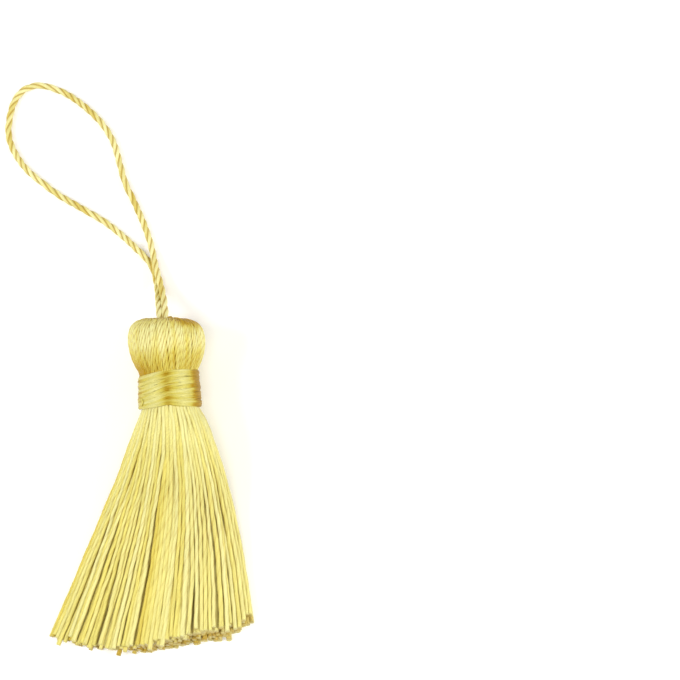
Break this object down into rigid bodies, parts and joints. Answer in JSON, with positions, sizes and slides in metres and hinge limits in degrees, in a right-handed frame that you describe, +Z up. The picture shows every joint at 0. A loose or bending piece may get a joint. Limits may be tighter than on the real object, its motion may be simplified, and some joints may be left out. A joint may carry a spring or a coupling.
{
  "type": "silk tassel",
  "caption": "Small yarn tassel lying flat: rounded head, floss-bound neck, flared cut skirt and a twisted cord loop to hang it by.",
  "frame": {"origin": "on the table, under the middle of the box round the head, binding and skirt", "axes": "+Z up from the table, +Y from the skirt towards the head and the cord, +X to the right seen from above"},
  "size_m": [0.0674, 0.1526, 0.0197],
  "materials": {
    "silk_yarn": "silky twisted yarn with a satin sheen",
    "binding_floss": "glossy untwisted floss, wound tight",
    "twisted_cord": "silky laid cord with a satin sheen"
  },
  "bodies": {
    "root": {"tassel_yarn": "silk_yarn", "neck_binding": "binding_floss", "hanging_cord": "twisted_cord"}
  },
  "joints": []
}
